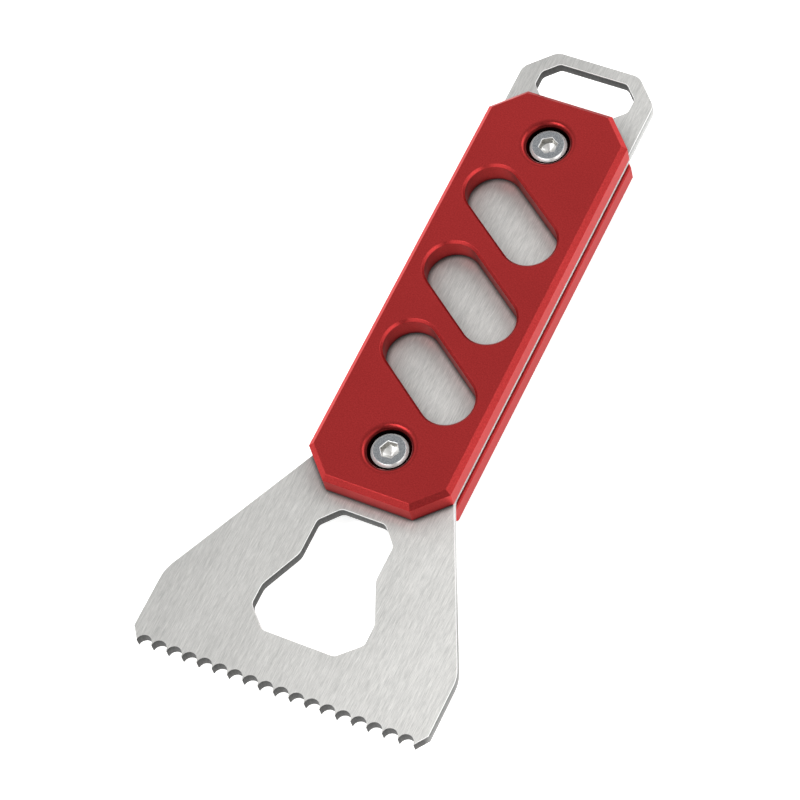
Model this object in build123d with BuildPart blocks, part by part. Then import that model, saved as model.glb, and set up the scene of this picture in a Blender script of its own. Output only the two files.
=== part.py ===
"""Painter's multi tool: a serrated stainless scraper plate between two red aluminium handle scales.

The plate runs the whole length of the tool. Two identical scales sandwich its tang, and two
binding fasteners, each a socket head screw in a sleeve nut, clamp the stack together.

Frame: X across the blade, Y along the tool with the hanging loop at +Y, +Z out of the front
scale. The tool lies on its rear scale at Z = 0. Millimetres.
"""
from build123d import *
import os

# ---- whole tool -------------------------------------------------------------------------------
OVERALL_LENGTH = 181.2      # tooth tips to the top of the loop
LOOP_END = OVERALL_LENGTH / 2
TOOTH_LINE = -OVERALL_LENGTH / 2
HANDLE_CENTRE = LOOP_END - 73.2     # middle of the scales, measured down from the loop's end

# ---- handle scales ----------------------------------------------------------------------------
SCALE_WIDTH = 37.0
SCALE_LENGTH = 114.8
SCALE_THICKNESS = 6.0
SCALE_CORNER = 7.2          # each corner of the outline is cut off by this much
SCALE_BEVEL = 1.25          # bevel round the outer face
EDGE_BREAK = 0.3            # small chamfer round the inner face

# ---- stack ------------------------------------------------------------------------------------
PLATE_THICKNESS = 3.0
PLATE_BACK = SCALE_THICKNESS
PLATE_FRONT = PLATE_BACK + PLATE_THICKNESS
FRONT_FACE = PLATE_FRONT + SCALE_THICKNESS

# ---- windows through the scales ---------------------------------------------------------------
WINDOW_PITCH = 23.0
WINDOW_RADIUS = 6.7         # of the rounded ends, inside the bevel
WINDOW_REACH = 17.5         # between the centres of the rounded ends
WINDOW_TILT = -35.0         # degrees from X
WINDOW_BEVEL = 0.6

# ---- fasteners --------------------------------------------------------------------------------
FASTENER_SPACING = 89.2
POCKET_DIAMETER = 10.6
POCKET_ROUND = 1.3          # radius where the pocket meets the outer face
POCKET_DEPTH = 4.4          # head height plus the sink below the face
HEAD_DIAMETER = 9.1
HEAD_HEIGHT = 3.5
HEAD_BEVEL = 0.65           # leaves a flat 7.8 mm across on the head
SOCKET_FLATS = 4.0
SOCKET_DEPTH = 2.1
SOCKET_MOUTH_FLATS = 4.3    # the mouth's bevel follows the hexagon
SOCKET_MOUTH_DEPTH = 0.15
SOCKET_POINT_RADIUS = 1.9   # conical floor left by the drill
SOCKET_POINT_DEPTH = 0.95
THREAD_DIAMETER = 5.0
SLEEVE_DIAMETER = 6.5
SLEEVE_CLEARANCE = 0.1      # between the sleeve and the holes it passes through
SLEEVE_LENGTH = 5.8
SLEEVE_BEVEL = 0.3          # outside edge of the sleeve's open end
BORE_CLEARANCE = 0.05       # between the screw's shank and the sleeve's bore
SCREW_LENGTH = 6.1          # below the head
THREAD_POINT = 0.4          # chamfer on the screw's end
SOCKET_TURNS = {"upper": 32.3, "lower": 4.7}    # degrees, as the two screws happened to stop

# ---- scraper plate ----------------------------------------------------------------------------
TANG_WIDTH = 35.4
BLADE_WIDTH = 76.0
FLARE_START = HANDLE_CENTRE - 48.4      # where the tang begins to widen
FLARE_SLOPE = 0.494                     # sideways growth for each millimetre of length
FLARE_ROUND = 5.0
SHOULDER_RADIUS = 10.0
BLADE_CORNER_WIDTH = 2.3
BLADE_CORNER_HEIGHT = 3.1
LOOP_CORNER = 6.7
LOOP_ROUND = 3.5

TOOTH_COUNT = 18
TOOTH_PITCH = 3.97
NOTCH_RADIUS = 1.9
NOTCH_DEPTH = 1.85

# ---- hanging hole -----------------------------------------------------------------------------
LOOP_BAR = 3.1              # steel left above the hole
LOOP_HOLE_WIDTH = 25.0
LOOP_HOLE_HEIGHT = 10.9
LOOP_HOLE_CORNER = 3.5
LOOP_HOLE_ROUND = 1.8

# ---- opener cut-out in the blade: half widths, and distances below the handle's centre --------
CUTOUT_TOP = 60.5
CUTOUT_TOP_HALF = 5.7
CUTOUT_NECK_HALF = 9.85
CUTOUT_NECK_START = 65.1
CUTOUT_NECK_END = 74.4
CUTOUT_BELLY_HALF = 14.55
CUTOUT_BELLY_START = 84.6
CUTOUT_BELLY_END = 90.0
CUTOUT_BOTTOM = 95.0
CUTOUT_BOTTOM_HALF = 9.3
CUTOUT_TIGHT_ROUND = 2.0
CUTOUT_EASY_ROUND = 4.0

EDGE_SOFTENING = 0.15       # tumbled edges of the plate

fastener_spots = {
    "upper": HANDLE_CENTRE + FASTENER_SPACING / 2,
    "lower": HANDLE_CENTRE - FASTENER_SPACING / 2,
}
window_spots = [HANDLE_CENTRE + step * WINDOW_PITCH for step in (-1, 0, 1)]

os.makedirs("parts", exist_ok=True)


def mirrored(right_side):
    """A closed outline from the points of its right side, listed from top to bottom."""
    left_side = [(-x, y) for x, y in reversed(right_side)]
    return right_side + left_side


def rounds(right_side):
    """Corner radii for a mirrored outline, in the order of its points."""
    return right_side + right_side[::-1]


# ---- handle scales ----------------------------------------------------------------------------
half_width = SCALE_WIDTH / 2
scale_top = HANDLE_CENTRE + SCALE_LENGTH / 2
scale_bottom = HANDLE_CENTRE - SCALE_LENGTH / 2
scale_outline = mirrored([
    (half_width - SCALE_CORNER, scale_top),
    (half_width, scale_top - SCALE_CORNER),
    (half_width, scale_bottom + SCALE_CORNER),
    (half_width - SCALE_CORNER, scale_bottom),
])


def make_scale(face_plane):
    """One scale, built outwards from the plate's face on the given plane.

    The plane's Z points away from the plate, so the two scales are the same piece, one of them
    turned over about the tool's long axis.
    """
    outward = Axis((0, 0, 0), face_plane.z_dir)
    outer_face = face_plane.offset(SCALE_THICKNESS)
    with BuildPart() as scale:
        with BuildSketch(face_plane):
            with BuildLine():
                Polyline(*scale_outline, close=True)
            make_face()
        extrude(amount=SCALE_THICKNESS)
        chamfer(scale.faces().sort_by(outward)[-1].edges(), SCALE_BEVEL)
        chamfer(scale.faces().sort_by(outward)[0].edges(), EDGE_BREAK)

        with BuildSketch(face_plane):
            with Locations(*[(0, y) for y in window_spots]):
                SlotCenterToCenter(WINDOW_REACH, 2 * WINDOW_RADIUS, rotation=WINDOW_TILT)
        extrude(amount=SCALE_THICKNESS, mode=Mode.SUBTRACT)
        with BuildSketch(outer_face):
            with Locations(*[(0, y) for y in fastener_spots.values()]):
                Circle(POCKET_DIAMETER / 2)
        extrude(amount=-POCKET_DEPTH, mode=Mode.SUBTRACT)
        with BuildSketch(face_plane):
            with Locations(*[(0, y) for y in fastener_spots.values()]):
                Circle(SLEEVE_DIAMETER / 2 + SLEEVE_CLEARANCE)
        extrude(amount=SCALE_THICKNESS, mode=Mode.SUBTRACT)

        outer_rims = scale.faces().sort_by(outward)[-1].inner_wires()
        pocket_rims = [rim for rim in outer_rims if len(rim.edges()) == 1]
        window_rims = [rim for rim in outer_rims if len(rim.edges()) > 1]
        fillet([edge for rim in pocket_rims for edge in rim.edges()], POCKET_ROUND)
        chamfer([edge for rim in window_rims for edge in rim.edges()], WINDOW_BEVEL)
        inner_rims = scale.faces().sort_by(outward)[0].inner_wires()
        chamfer([edge for rim in inner_rims for edge in rim.edges()], EDGE_BREAK)
    return scale.part


front_plane = Plane.XY.offset(PLATE_FRONT)
rear_plane = Plane(origin=(0, 0, PLATE_BACK), x_dir=(-1, 0, 0), z_dir=(0, 0, -1))

front_scale = make_scale(front_plane)
front_scale.label = "front_scale"
export_step(front_scale, "parts/front_scale.step")

rear_scale = make_scale(rear_plane)
rear_scale.label = "rear_scale"
export_step(rear_scale, "parts/rear_scale.step")

# ---- scraper plate ----------------------------------------------------------------------------
tang_half = TANG_WIDTH / 2
blade_half = BLADE_WIDTH / 2
shoulder = FLARE_START - (blade_half - tang_half) / FLARE_SLOPE
plate_outline = mirrored([
    (tang_half - LOOP_CORNER, LOOP_END),
    (tang_half, LOOP_END - LOOP_CORNER),
    (tang_half, FLARE_START),
    (blade_half, shoulder),
    (blade_half, TOOTH_LINE + BLADE_CORNER_HEIGHT),
    (blade_half - BLADE_CORNER_WIDTH, TOOTH_LINE),
])
plate_rounds = rounds([LOOP_ROUND, LOOP_ROUND, FLARE_ROUND, SHOULDER_RADIUS, 0, 0])

hole_half = LOOP_HOLE_WIDTH / 2
hole_top = LOOP_END - LOOP_BAR
hole_bottom = hole_top - LOOP_HOLE_HEIGHT
loop_hole = mirrored([
    (hole_half - LOOP_HOLE_CORNER, hole_top),
    (hole_half, hole_top - LOOP_HOLE_CORNER),
    (hole_half, hole_bottom + LOOP_HOLE_CORNER),
    (hole_half - LOOP_HOLE_CORNER, hole_bottom),
])

cutout = mirrored([
    (CUTOUT_TOP_HALF, HANDLE_CENTRE - CUTOUT_TOP),
    (CUTOUT_NECK_HALF, HANDLE_CENTRE - CUTOUT_NECK_START),
    (CUTOUT_NECK_HALF, HANDLE_CENTRE - CUTOUT_NECK_END),
    (CUTOUT_BELLY_HALF, HANDLE_CENTRE - CUTOUT_BELLY_START),
    (CUTOUT_BELLY_HALF, HANDLE_CENTRE - CUTOUT_BELLY_END),
    (CUTOUT_BOTTOM_HALF, HANDLE_CENTRE - CUTOUT_BOTTOM),
])
cutout_rounds = rounds([
    CUTOUT_TIGHT_ROUND, CUTOUT_TIGHT_ROUND, CUTOUT_EASY_ROUND,
    CUTOUT_EASY_ROUND, CUTOUT_TIGHT_ROUND, CUTOUT_TIGHT_ROUND,
])

plate_plane = Plane.XY.offset(PLATE_BACK)
notch_centre = TOOTH_LINE + NOTCH_DEPTH - NOTCH_RADIUS
first_notch = -TOOTH_PITCH * (TOOTH_COUNT - 1) / 2

with BuildPart() as scraper_plate:
    with BuildSketch(plate_plane):
        with BuildLine():
            FilletPolyline(*plate_outline, radius=plate_rounds, close=True)
        make_face()
        with BuildLine():
            FilletPolyline(*loop_hole, radius=LOOP_HOLE_ROUND, close=True)
        make_face(mode=Mode.SUBTRACT)
        with BuildLine():
            FilletPolyline(*cutout, radius=cutout_rounds, close=True)
        make_face(mode=Mode.SUBTRACT)
        with Locations(*[(0, y) for y in fastener_spots.values()]):
            Circle(SLEEVE_DIAMETER / 2 + SLEEVE_CLEARANCE, mode=Mode.SUBTRACT)
    extrude(amount=PLATE_THICKNESS)
    chamfer(scraper_plate.faces().sort_by(Axis.Z)[-1].edges(), EDGE_SOFTENING)
    chamfer(scraper_plate.faces().sort_by(Axis.Z)[0].edges(), EDGE_SOFTENING)
    with BuildSketch(plate_plane):
        with Locations(*[(first_notch + step * TOOTH_PITCH, notch_centre)
                         for step in range(TOOTH_COUNT)]):
            Circle(NOTCH_RADIUS)
    extrude(amount=PLATE_THICKNESS, mode=Mode.SUBTRACT)
scraper_plate.part.label = "scraper_plate"
export_step(scraper_plate.part, "parts/scraper_plate.step")

# ---- socket head screws, from the front --------------------------------------------------------
head_seat = FRONT_FACE - POCKET_DEPTH


def make_socket(head_face, turn):
    """The hollow of a hexagon socket, sunk from a head's outer face.

    Its mouth is lightly bevelled and its floor is the drill's cone.
    """
    with BuildPart() as socket:
        with BuildSketch(head_face):
            RegularPolygon(SOCKET_FLATS / 2, 6, major_radius=False, rotation=turn)
        extrude(amount=-SOCKET_DEPTH)
        with BuildSketch(head_face):
            RegularPolygon(SOCKET_MOUTH_FLATS / 2, 6, major_radius=False, rotation=turn)
        with BuildSketch(head_face.offset(-SOCKET_MOUTH_DEPTH)):
            RegularPolygon(SOCKET_FLATS / 2, 6, major_radius=False, rotation=turn)
        loft()
        with Locations(head_face.offset(-SOCKET_DEPTH)):
            Cone(SOCKET_POINT_RADIUS, 0, SOCKET_POINT_DEPTH, rotation=(180, 0, 0),
                 align=(Align.CENTER, Align.CENTER, Align.MIN))
    return socket.part


def make_screw(y, turn):
    """A low-head socket cap screw seated in the front scale's pocket."""
    socket = make_socket(Plane(origin=(0, y, head_seat + HEAD_HEIGHT)), turn)
    with BuildPart() as screw:
        with BuildSketch(Plane.XY.offset(head_seat)):
            with Locations((0, y)):
                Circle(HEAD_DIAMETER / 2)
        extrude(amount=HEAD_HEIGHT)
        chamfer(screw.faces().sort_by(Axis.Z)[-1].edges(), HEAD_BEVEL)
        with BuildSketch(Plane.XY.offset(head_seat)):
            with Locations((0, y)):
                Circle(THREAD_DIAMETER / 2)
        extrude(amount=-SCREW_LENGTH)
        chamfer(screw.faces().sort_by(Axis.Z)[0].edges(), THREAD_POINT)
        add(socket, mode=Mode.SUBTRACT)
    return screw.part


upper_screw = make_screw(fastener_spots["upper"], SOCKET_TURNS["upper"])
upper_screw.label = "upper_screw"
export_step(upper_screw, "parts/upper_screw.step")

lower_screw = make_screw(fastener_spots["lower"], SOCKET_TURNS["lower"])
lower_screw.label = "lower_screw"
export_step(lower_screw, "parts/lower_screw.step")


# ---- sleeve nuts, from the rear ----------------------------------------------------------------
def make_sleeve_nut(y):
    """A binding nut: a socket head in the rear pocket and a threaded sleeve through the stack."""
    socket = make_socket(rear_plane.offset(SCALE_THICKNESS - POCKET_DEPTH + HEAD_HEIGHT), 0)
    with BuildPart() as nut:
        with BuildSketch(Plane.XY.offset(POCKET_DEPTH)):
            with Locations((0, y)):
                Circle(HEAD_DIAMETER / 2)
        extrude(amount=-HEAD_HEIGHT)
        chamfer(nut.faces().sort_by(Axis.Z)[0].edges(), HEAD_BEVEL)
        with BuildSketch(Plane.XY.offset(POCKET_DEPTH)):
            with Locations((0, y)):
                Circle(SLEEVE_DIAMETER / 2)
        extrude(amount=SLEEVE_LENGTH)
        chamfer(nut.faces().sort_by(Axis.Z)[-1].edges(), SLEEVE_BEVEL)
        with BuildSketch(Plane.XY.offset(POCKET_DEPTH)):
            with Locations((0, y)):
                Circle(THREAD_DIAMETER / 2 + BORE_CLEARANCE)
        extrude(amount=SLEEVE_LENGTH, mode=Mode.SUBTRACT)
        with Locations((0, y)):
            add(socket, mode=Mode.SUBTRACT)
    return nut.part


upper_sleeve_nut = make_sleeve_nut(fastener_spots["upper"])
upper_sleeve_nut.label = "upper_sleeve_nut"
export_step(upper_sleeve_nut, "parts/upper_sleeve_nut.step")

lower_sleeve_nut = make_sleeve_nut(fastener_spots["lower"])
lower_sleeve_nut.label = "lower_sleeve_nut"
export_step(lower_sleeve_nut, "parts/lower_sleeve_nut.step")
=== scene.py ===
"""Looks for the painter's multi tool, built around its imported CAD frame. Lengths are in metres."""
from math import cos, pi, radians, sin

import bpy
from mathutils import Matrix, Vector


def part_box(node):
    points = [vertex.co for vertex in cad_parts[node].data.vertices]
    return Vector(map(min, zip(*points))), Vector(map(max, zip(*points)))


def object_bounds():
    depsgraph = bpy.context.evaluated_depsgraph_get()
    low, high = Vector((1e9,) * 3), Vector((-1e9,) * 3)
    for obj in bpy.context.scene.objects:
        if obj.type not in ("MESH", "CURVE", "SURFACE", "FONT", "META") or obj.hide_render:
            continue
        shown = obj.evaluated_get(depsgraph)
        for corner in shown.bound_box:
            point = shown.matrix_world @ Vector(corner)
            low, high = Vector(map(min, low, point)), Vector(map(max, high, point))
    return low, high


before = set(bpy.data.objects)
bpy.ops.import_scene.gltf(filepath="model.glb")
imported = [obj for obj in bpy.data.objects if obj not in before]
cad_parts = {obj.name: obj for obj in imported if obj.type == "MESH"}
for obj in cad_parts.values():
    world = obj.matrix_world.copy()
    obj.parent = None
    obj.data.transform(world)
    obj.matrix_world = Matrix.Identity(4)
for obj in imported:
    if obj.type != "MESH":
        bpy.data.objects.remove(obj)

cad_lo, cad_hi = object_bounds()

# ---- camera numbers, angles in degrees --------------------------------------------------------
AIM = Vector((-0.00541, -0.01215, 0.0090))      # the camera looks here, on the plate's front face
CAMERA_AZIMUTH = 41.62
CAMERA_ELEVATION = 59.14
CAMERA_ROLL = -18.36
CAMERA_DISTANCE = 0.83773
CAMERA_LENS = 160.39
CAMERA_SENSOR = 36.0

# ---- floor and light tent, angles in degrees --------------------------------------------------
FLOOR_HALF = 6.0
FLOOR_DROP = 0.0001         # the floor lies this far under the tool
FLOOR_GLOW = 0.70           # a backlit table: part of its white is its own light
FLOOR_ALBEDO = 0.90
LOW_LIGHT = 0.42            # the tent's walls near the table
RING_LIGHT = 1.40           # the brighter band of wall above them
TOP_LIGHT = 0.39            # the tent's roof
RING_START, RING_FULL = 20, 29      # elevations between which the walls brighten
ROOF_START, ROOF_FULL = 40, 50      # elevations between which they dim to the roof
SLIT_AZIMUTH = 42.0         # a dark slit in the tent, on the camera's side
SLIT_DARK = 12.0            # from its middle to the end of its full dark
SLIT_EDGE = 21.0            # from its middle to where the wall is fully lit again
SLIT_FOOT = 16.0            # it starts this far above the table
SLIT_FOOT_FADE = 6.0
SLIT_LOSS = 0.93            # the share of the wall's light that is missing in it
WHITE = (1.0, 1.0, 1.0)
WARM_WHITE = (1.0, 0.98, 0.95)

# ---- the tool, in millimetres -----------------------------------------------------------------
MM = 1000.0                 # texture coordinates are scaled to millimetres
SOCKET_DEPTH = 2.1          # of the hexagon sockets
SOCKET_REACH = 2.42         # from a fastener's axis to just inside its socket's mouth
SOCKET_REACH_FADE = 0.10
POCKET_WALL = 5.35          # from a fastener's axis to just past its pocket's wall
POCKET_WALL_FADE = 0.25
POCKET_MOUTH = 7.1          # from a fastener's axis to the end of the mouth's shade
POCKET_SHADE_LOW = 3.2       # depths below the scale's face between which the painted shade clears
POCKET_SHADE_HIGH = 0.8
LOOP_FRAME = 2.6            # from the hanging hole to the end of the sheet
LOOP_FADE = 30.0            # length of sheet over which the loop's painted shade comes in
FLARE_START = 30.0          # heights above the teeth between which the painted light on the outer cut edge comes in
FLARE_END = 45.0

EDGE_ROUND = 0.0001         # metres, the radius with which the shader softens every edge


def box_mm(node):
    """A node's lowest and highest corners, in millimetres."""
    return [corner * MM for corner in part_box(node)]


sheet_low, sheet_high = box_mm("scraper_plate")
scale_high = box_mm("front_scale")[1]
screw_high = box_mm("upper_screw")[1]
stack_middle = (sheet_low.z + sheet_high.z) / 2
face_height = scale_high.z - stack_middle
socket_floor = screw_high.z - SOCKET_DEPTH - stack_middle
tang_half = scale_high.x
sheet_half = sheet_high.x
tooth_line = sheet_low.y
hole_top = sheet_high.y - LOOP_FRAME
fastener_axes = [sum(corner.y for corner in box_mm(name)) / 2
                 for name in ("upper_screw", "lower_screw")]


def direction(azimuth, elevation):
    """Unit vector: azimuth 0 is -Y and 90 is +X, elevation is above the floor, in degrees."""
    a, e = radians(azimuth), radians(elevation)
    return Vector((sin(a) * cos(e), -cos(a) * cos(e), sin(e)))


# ---- shader helpers ---------------------------------------------------------------------------
def rgb(red, green, blue):
    """A shader colour."""
    return (red, green, blue, 1.0)


def set_socket(tree, socket, value):
    """Links a socket, or gives it a plain value."""
    if isinstance(value, bpy.types.NodeSocket):
        tree.links.new(value, socket)
    else:
        socket.default_value = value


def add_node(tree, kind, inputs=None, **settings):
    """A new node, with its properties set and its inputs given values or linked to sockets."""
    node = tree.nodes.new(kind)
    for name, value in settings.items():
        setattr(node, name, value)
    for name, value in (inputs or {}).items():
        set_socket(tree, node.inputs[name], value)
    return node


def calculate(tree, operation, *values):
    """A Math node on sockets or numbers."""
    return add_node(tree, "ShaderNodeMath", dict(enumerate(values)), operation=operation).outputs[0]


def multiply(tree, *values):
    """The product of two or more sockets or numbers."""
    product = values[0]
    for value in values[1:]:
        product = calculate(tree, "MULTIPLY", product, value)
    return product


def remap(tree, value, from_low, from_high, to_low, to_high):
    """A clamped Map Range."""
    node = add_node(tree, "ShaderNodeMapRange", {
        "Value": value, "From Min": from_low, "From Max": from_high,
        "To Min": to_low, "To Max": to_high})
    return node.outputs["Result"]


def rising(tree, value, low, high):
    """0 up to low, and 1 from high."""
    return remap(tree, value, low, high, 0.0, 1.0)


def falling(tree, value, low, high):
    """1 up to low, and 0 from high."""
    return remap(tree, value, low, high, 1.0, 0.0)


def blend_colours(tree, factor, first, second):
    """A colour Mix node, from the first colour at 0 to the second at 1."""
    node = add_node(tree, "ShaderNodeMix", data_type="RGBA")
    for socket, value in ((0, factor), (6, first), (7, second)):
        set_socket(tree, node.inputs[socket], value)
    return node.outputs[2]


def scaled(tree, colour, factor):
    """A colour or a vector times a factor."""
    return add_node(tree, "ShaderNodeVectorMath", {0: colour, "Scale": factor},
                    operation="SCALE").outputs[0]


def noise(tree, place, stretch, detail=2.0, roughness=0.5, seed=(0.0, 0.0, 0.0)):
    """Noise on millimetre coordinates; stretch is cycles per millimetre along X, Y and Z."""
    mapping = add_node(tree, "ShaderNodeMapping",
                       {"Vector": place, "Scale": stretch, "Location": seed})
    texture = add_node(tree, "ShaderNodeTexNoise",
                       {"Vector": mapping.outputs[0], "Scale": 1.0, "Detail": detail,
                        "Roughness": roughness})
    return texture.outputs["Fac"]


def new_material(name):
    """An empty node material: itself, its tree, its Principled shader, millimetre coordinates."""
    material = bpy.data.materials.new(name)
    material.use_nodes = True
    tree = material.node_tree
    tree.nodes.clear()
    shader = add_node(tree, "ShaderNodeBsdfPrincipled")
    add_node(tree, "ShaderNodeOutputMaterial", {"Surface": shader.outputs[0]})
    coordinates = add_node(tree, "ShaderNodeTexCoord")
    place = scaled(tree, coordinates.outputs["Object"], MM)
    return material, tree, shader, place


def split(tree, vector):
    """A vector's X, Y and Z, as a node's outputs."""
    return add_node(tree, "ShaderNodeSeparateXYZ", {0: vector}).outputs


def uprightness(tree):
    """1 where the surface lies flat, facing up or down, and 0 on upright walls."""
    geometry = add_node(tree, "ShaderNodeNewGeometry")
    return calculate(tree, "ABSOLUTE", split(tree, geometry.outputs["True Normal"])["Z"])


def from_stack_middle(tree, height):
    """Millimetres above or below the middle of the sheet."""
    return calculate(tree, "ABSOLUTE", calculate(tree, "SUBTRACT", height, stack_middle))


def corner_shade(tree, reach_mm, darkest):
    """Painted shade in the inside corners, as a factor that is 1 on open surfaces."""
    crowding = add_node(tree, "ShaderNodeAmbientOcclusion", {"Distance": reach_mm / MM}, samples=12)
    return remap(tree, crowding.outputs["AO"], 0.50, 0.88, darkest, 1.0)


def add_relief(tree, shader, height, strength, depth):
    """Soft edges and a fine bump on a shader's normal."""
    soft = add_node(tree, "ShaderNodeBevel", {"Radius": EDGE_ROUND}, samples=4)
    bump = add_node(tree, "ShaderNodeBump", {
        "Strength": strength, "Distance": depth, "Height": height, "Normal": soft.outputs[0]})
    set_socket(tree, shader.inputs["Normal"], bump.outputs[0])


# ---- steel sheet ------------------------------------------------------------------------------
def steel_streaks(tree, place):
    """The brushing: fine streaks along the tool with some broader ones, around a half."""
    fine = noise(tree, place, (7.0, 0.35, 7.0), 4.0, 0.75)
    medium = noise(tree, place, (2.2, 0.10, 2.2), 2.0, 0.6, (7.0, 3.0, 1.0))
    fine_share = 0.75
    return calculate(tree, "MULTIPLY_ADD", fine, fine_share, multiply(tree, medium, 1 - fine_share))


def steel_scratches(tree, place):
    """A few longer scratches, slanted a little across the brushing."""
    slanted = add_node(tree, "ShaderNodeMapping",
                       {"Vector": place, "Rotation": (0.0, 0.0, radians(5.0))})
    marks = noise(tree, slanted.outputs[0], (2.6, 0.15, 2.6), 2.0, 0.5, (1.0, 6.0, 2.0))
    return remap(tree, marks, 0.70, 0.78, 0.0, 0.8)


def steel_face_colour(tree, place, spot, streaks, scratches):
    """The brushed faces, duller towards one side of the sheet and round the hanging loop, which is
    painted shade.
    """
    shade = rising(tree, streaks, 0.38, 0.62)
    brushed = blend_colours(tree, shade, rgb(0.54, 0.54, 0.526), rgb(0.83, 0.822, 0.800))
    scored = blend_colours(tree, scratches, brushed, rgb(0.93, 0.92, 0.90))
    broad = noise(tree, place, (0.10, 0.02, 0.10), 2.0, 0.5, (2.0, 9.0, 4.0))
    tone_and_shade = multiply(
        tree,
        remap(tree, broad, 0.35, 0.65, 0.96, 1.03),
        # painted shade in the inside corners
        corner_shade(tree, 1.7, 0.20),
        # painted shade: darker towards -X across the sheet
        remap(tree, spot["X"], -sheet_half, sheet_half, 0.73, 1.00),
        # painted shade: darker round the hanging loop
        remap(tree, spot["Y"], hole_top - LOOP_FADE, hole_top, 1.0, 0.84))
    return scaled(tree, scored, tone_and_shade)


def steel_cut_colour(tree, place, spot):
    """The cut edges: painted light round the outside, painted shade in the openings and the notches.
    """
    striations = noise(tree, place, (3.0, 3.0, 0.4), 2.0, 0.6, (5.0, 5.0, 0.0))
    dark = blend_colours(tree, striations, rgb(0.03, 0.03, 0.03), rgb(0.11, 0.11, 0.105))
    light = blend_colours(tree, striations, rgb(0.42, 0.42, 0.415), rgb(0.66, 0.66, 0.65))
    from_middle = calculate(tree, "ABSOLUTE", spot["X"])
    along_sides = rising(tree, from_middle, tang_half - 2.0, tang_half - 1.0)
    at_loop_end = rising(tree, spot["Y"], hole_top, hole_top + 1.0)
    # painted light on the outer cut edges, dimmer near the teeth; painted shade in the openings and
    # notches
    outside = multiply(
        tree,
        calculate(tree, "MAXIMUM", along_sides, at_loop_end),
        remap(tree, spot["Y"], tooth_line + FLARE_START, tooth_line + FLARE_END, 0.35, 1.0),
        rising(tree, spot["Y"], tooth_line + 2.0, tooth_line + 3.0))
    # painted highlight: the lower part of a cut edge is made lighter than its upper part
    painted_lower_highlight = remap(tree, spot["Z"], sheet_low.z + 0.4, sheet_high.z - 0.6, 1.3, 0.8)
    return scaled(tree, blend_colours(tree, outside, dark, light), painted_lower_highlight)


def brushed_steel():
    """Sheet steel brushed along the tool on its two faces, with plainer cut edges."""
    material, tree, shader, place = new_material("brushed_steel")
    spot = split(tree, place)
    streaks = steel_streaks(tree, place)
    scratches = steel_scratches(tree, place)
    upright = uprightness(tree)
    on_cut = falling(tree, upright, 0.35, 0.55)
    on_highlight_rim = multiply(tree, rising(tree, upright, 0.45, 0.60), falling(tree, upright, 0.80, 0.92))
    colour = blend_colours(tree, on_cut,
                           steel_face_colour(tree, place, spot, streaks, scratches),
                           steel_cut_colour(tree, place, spot))
    # painted highlight: near-white on the sheet's edge chamfers
    colour = blend_colours(tree, on_highlight_rim, colour, rgb(0.97, 0.97, 0.96))
    set_socket(tree, shader.inputs["Base Color"], colour)
    shader.inputs["Metallic"].default_value = 0.42
    gloss = remap(tree, streaks, 0.3, 0.7, 0.44, 0.54)
    set_socket(tree, shader.inputs["Roughness"],
               calculate(tree, "MULTIPLY_ADD", on_cut, 0.15, gloss))
    shader.inputs["Anisotropic"].default_value = 0.7
    across = add_node(tree, "ShaderNodeCombineXYZ", {"X": 1.0, "Y": 0.0, "Z": 0.0})
    set_socket(tree, shader.inputs["Tangent"], across.outputs[0])
    relief = calculate(tree, "MULTIPLY_ADD", scratches, 0.5, streaks)
    add_relief(tree, shader, relief, strength=0.35, depth=0.00003)
    return material


# ---- red scales -------------------------------------------------------------------------------
def axis_distance(tree, spot):
    """Millimetres from the nearer of the two fasteners' axes."""
    gaps = []
    for axis_y in fastener_axes:
        across = add_node(tree, "ShaderNodeCombineXYZ", {
            "X": spot["X"], "Y": calculate(tree, "SUBTRACT", spot["Y"], axis_y)})
        length = add_node(tree, "ShaderNodeVectorMath", {0: across.outputs[0]}, operation="LENGTH")
        gaps.append(length.outputs["Value"])
    return calculate(tree, "MINIMUM", *gaps)


def pocket_shade(tree, spot):
    """Painted shade in the pockets, as a factor that is 1 on the rest of the scale."""
    radius = axis_distance(tree, spot)
    mouth = remap(tree, radius, POCKET_WALL, POCKET_MOUTH, 0.24, 1.0)
    past_wall = rising(tree, radius, POCKET_WALL, POCKET_WALL + POCKET_WALL_FADE)
    floor_shade = remap(tree, from_stack_middle(tree, spot["Z"]), face_height - POCKET_SHADE_LOW,
                       face_height - POCKET_SHADE_HIGH, 0.55, 1.0)
    return multiply(tree, mouth, calculate(tree, "MAXIMUM", floor_shade, past_wall))


def red_anodised():
    """Bead-blasted aluminium, dyed red."""
    material, tree, shader, place = new_material("red_anodised")
    grain = noise(tree, place, (3.0, 3.0, 3.0), 3.0, 0.7)
    cloud = noise(tree, place, (0.05, 0.05, 0.05), 2.0, 0.5, (4.0, 1.0, 2.0))
    colour = blend_colours(tree, rising(tree, grain, 0.3, 0.7),
                           rgb(0.47, 0.034, 0.034), rgb(0.64, 0.056, 0.056))
    tone_and_shade = multiply(
        tree,
        remap(tree, cloud, 0.3, 0.7, 0.97, 1.03),
        # painted shade in the fasteners' pockets
        pocket_shade(tree, split(tree, place)),
        # painted shade in the inside corners
        corner_shade(tree, 1.5, 0.45))
    set_socket(tree, shader.inputs["Base Color"], scaled(tree, colour, tone_and_shade))
    shader.inputs["Metallic"].default_value = 1.0
    shader.inputs["Specular Tint"].default_value = rgb(0.72, 0.66, 0.66)
    set_socket(tree, shader.inputs["Roughness"], remap(tree, grain, 0.3, 0.7, 0.28, 0.35))
    add_relief(tree, shader, grain, strength=0.35, depth=0.00004)
    return material


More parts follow.
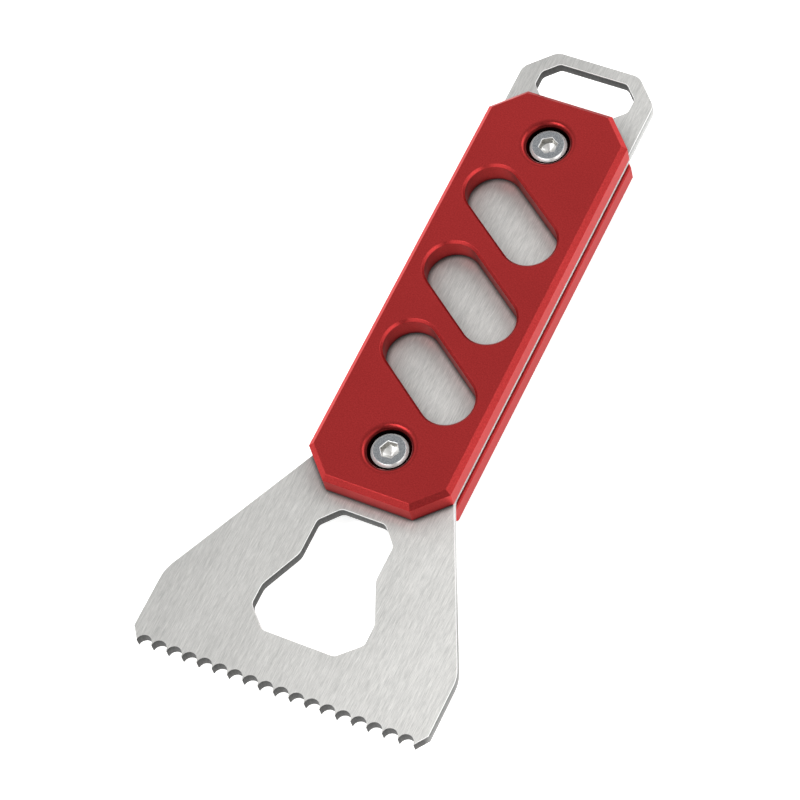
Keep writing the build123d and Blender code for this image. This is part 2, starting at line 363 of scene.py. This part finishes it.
# ---- fasteners --------------------------------------------------------------------------------
def plated_fastener():
    """Plated steel: greyer and mottled on the flat of the heads, with painted highlights on their
    rims and socket cones and painted shade on the socket walls.
    """
    material, tree, shader, place = new_material("plated_fastener")
    spot = split(tree, place)
    upright = uprightness(tree)
    mottle = noise(tree, place, (2.2, 2.2, 2.2), 4.0, 0.7)
    shade = rising(tree, mottle, 0.3, 0.7)
    on_flat = rising(tree, upright, 0.92, 0.98)
    on_bevel = multiply(tree, rising(tree, upright, 0.5, 0.6), falling(tree, upright, 0.85, 0.95))
    in_socket = falling(tree, axis_distance(tree, spot), SOCKET_REACH,
                        SOCKET_REACH + SOCKET_REACH_FADE)
    on_wall = multiply(tree, in_socket, falling(tree, upright, 0.2, 0.35))
    on_cone = multiply(
        tree, in_socket, rising(tree, upright, 0.75, 0.85),
        falling(tree, from_stack_middle(tree, spot["Z"]), socket_floor - 0.05, socket_floor + 0.1))

    flat = blend_colours(tree, shade, rgb(0.40, 0.44, 0.475), rgb(0.72, 0.74, 0.76))
    # painted highlight: near-white on the heads' rims
    rim_highlight = blend_colours(tree, shade, rgb(0.95, 0.95, 0.94), rgb(1.0, 1.0, 0.99))
    colour = blend_colours(tree, on_flat, rim_highlight, flat)
    # painted shade: darker grey on the socket walls
    colour = blend_colours(tree, on_wall, colour, rgb(0.42, 0.41, 0.38))
    # painted highlight: near-white on the socket cones
    colour = blend_colours(tree, on_cone, colour, rgb(1.0, 0.99, 0.97))
    set_socket(tree, shader.inputs["Base Color"], colour)
    # the cone and the bevel scatter more light than a mirror would, which keeps their painted
    # highlights pale
    pale = calculate(tree, "MAXIMUM", on_cone, multiply(tree, on_bevel, 0.55))
    set_socket(tree, shader.inputs["Metallic"], remap(tree, pale, 0.0, 1.0, 1.0, 0.2))
    gloss = calculate(tree, "ADD", remap(tree, mottle, 0.3, 0.7, 0.10, 0.17), 0.10)
    set_socket(tree, shader.inputs["Roughness"],
               calculate(tree, "MULTIPLY_ADD", on_flat, -0.05, gloss))
    add_relief(tree, shader, mottle, strength=0.12, depth=0.00003)
    return material


steel = brushed_steel()
red = red_anodised()
plated = plated_fastener()
finishes = {
    "scraper_plate": steel,
    "front_scale": red,
    "rear_scale": red,
    "upper_screw": plated,
    "lower_screw": plated,
    "upper_sleeve_nut": plated,
    "lower_sleeve_nut": plated,
}
for name, material in finishes.items():
    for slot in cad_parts[name].material_slots:
        slot.material = material


# ---- floor ------------------------------------------------------------------------------------
def place_object(name, data):
    """A new object in the scene."""
    placed = bpy.data.objects.new(name, data)
    bpy.context.scene.collection.objects.link(placed)
    return placed


floor_mesh = bpy.data.meshes.new("floor")
floor_mesh.from_pydata([(-FLOOR_HALF, -FLOOR_HALF, 0.0), (FLOOR_HALF, -FLOOR_HALF, 0.0),
                        (FLOOR_HALF, FLOOR_HALF, 0.0), (-FLOOR_HALF, FLOOR_HALF, 0.0)], [],
                       [(0, 1, 2, 3)])
floor = place_object("floor", floor_mesh)
floor.location.z = cad_lo.z - FLOOR_DROP
floor_material = bpy.data.materials.new("floor_white")
floor_material.use_nodes = True
floor_tree = floor_material.node_tree
floor_tree.nodes.clear()
floor_shader = add_node(floor_tree, "ShaderNodeBsdfPrincipled", {
    "Base Color": rgb(FLOOR_ALBEDO, FLOOR_ALBEDO, FLOOR_ALBEDO), "Roughness": 1.0,
    "Specular IOR Level": 0.0, "Emission Color": rgb(*WHITE),
    "Emission Strength": FLOOR_GLOW})
add_node(floor_tree, "ShaderNodeOutputMaterial", {"Surface": floor_shader.outputs[0]})
floor_mesh.materials.append(floor_material)


# ---- lights -----------------------------------------------------------------------------------
def softbox(name, centre, facing, width, height, radiance, tint=WHITE):
    """A rectangular light of even brightness that faces the given way."""
    light = bpy.data.lights.new(name, "AREA")
    light.shape = "RECTANGLE"
    light.size = width
    light.size_y = height
    light.energy = radiance * pi * width * height
    light.color = tint
    lamp = place_object(name, light)
    lamp.location = centre
    lamp.rotation_mode = "QUATERNION"
    lamp.rotation_quaternion = (-Vector(facing)).to_track_quat("Z", "Y")
    lamp.visible_camera = False


# a panel above and to the right, a key behind, one on the right, a small one at the front left
softbox("overhead_softbox", (0.30, -0.08, 0.34), (0, 0, -1), 0.36, 0.40, 0.80, WARM_WHITE)
key_place = Vector((0.30, 0.75, 0.95))
softbox("key_softbox", key_place, -key_place, 0.70, 0.50, 2.55)
softbox("right_softbox", (0.60, 0.20, 0.28), (-1, 0, 0), 0.80, 0.45, 0.28)
front_way = direction(-43, 60)
softbox("front_softbox", front_way * 0.62, -front_way, 0.30, 0.30, 5.2)


def sine(degrees):
    """The height of a unit direction at this elevation."""
    return sin(radians(degrees))


# the tent: dim walls, a bright band above them, a dim roof, and the dark slit
world = bpy.data.worlds.new("studio")
bpy.context.scene.world = world
world.use_nodes = True
sky = world.node_tree
background = sky.nodes["Background"]
sky_place = add_node(sky, "ShaderNodeTexCoord")
sky_way = split(sky, sky_place.outputs["Generated"])
rise = sky_way["Z"]
wall_light = remap(sky, rise, sine(RING_START), sine(RING_FULL), LOW_LIGHT, RING_LIGHT)
roof = rising(sky, rise, sine(ROOF_START), sine(ROOF_FULL))
flat_way = add_node(sky, "ShaderNodeCombineXYZ", {"X": sky_way["X"], "Y": sky_way["Y"]})
level_way = add_node(sky, "ShaderNodeVectorMath", {0: flat_way.outputs[0]}, operation="NORMALIZE")
toward_slit = add_node(sky, "ShaderNodeVectorMath",
                       {0: level_way.outputs[0], 1: tuple(direction(SLIT_AZIMUTH, 0))},
                       operation="DOT_PRODUCT")
slit = rising(sky, toward_slit.outputs["Value"], cos(radians(SLIT_EDGE)), cos(radians(SLIT_DARK)))
slit_height = rising(sky, rise, sine(SLIT_FOOT), sine(SLIT_FOOT + SLIT_FOOT_FADE))
wall_share = calculate(sky, "MULTIPLY_ADD", multiply(sky, slit, slit_height), -SLIT_LOSS, 1.0)
tent = add_node(sky, "ShaderNodeMix", {"Factor": roof, "A": wall_light, "B": TOP_LIGHT})
tent_light = multiply(sky, tent.outputs["Result"], wall_share)
set_socket(sky, background.inputs["Strength"], tent_light)
background.inputs["Color"].default_value = rgb(*WHITE)

# ---- camera -----------------------------------------------------------------------------------
camera_data = bpy.data.cameras.new("camera")
camera_data.sensor_width = CAMERA_SENSOR
camera_data.lens = CAMERA_LENS
camera_data.clip_start = 0.05
camera_data.clip_end = 50.0
camera = place_object("camera", camera_data)
backward = direction(CAMERA_AZIMUTH, CAMERA_ELEVATION)
roll = Matrix.Rotation(radians(CAMERA_ROLL), 3, "Z")
turn = backward.to_track_quat("Z", "Y").to_matrix() @ roll
camera.matrix_world = Matrix.Translation(AIM + backward * CAMERA_DISTANCE) @ turn.to_4x4()
bpy.context.scene.camera = camera

bpy.context.scene.view_settings.view_transform = "Standard"
bpy.context.scene.cycles.caustics_reflective = False
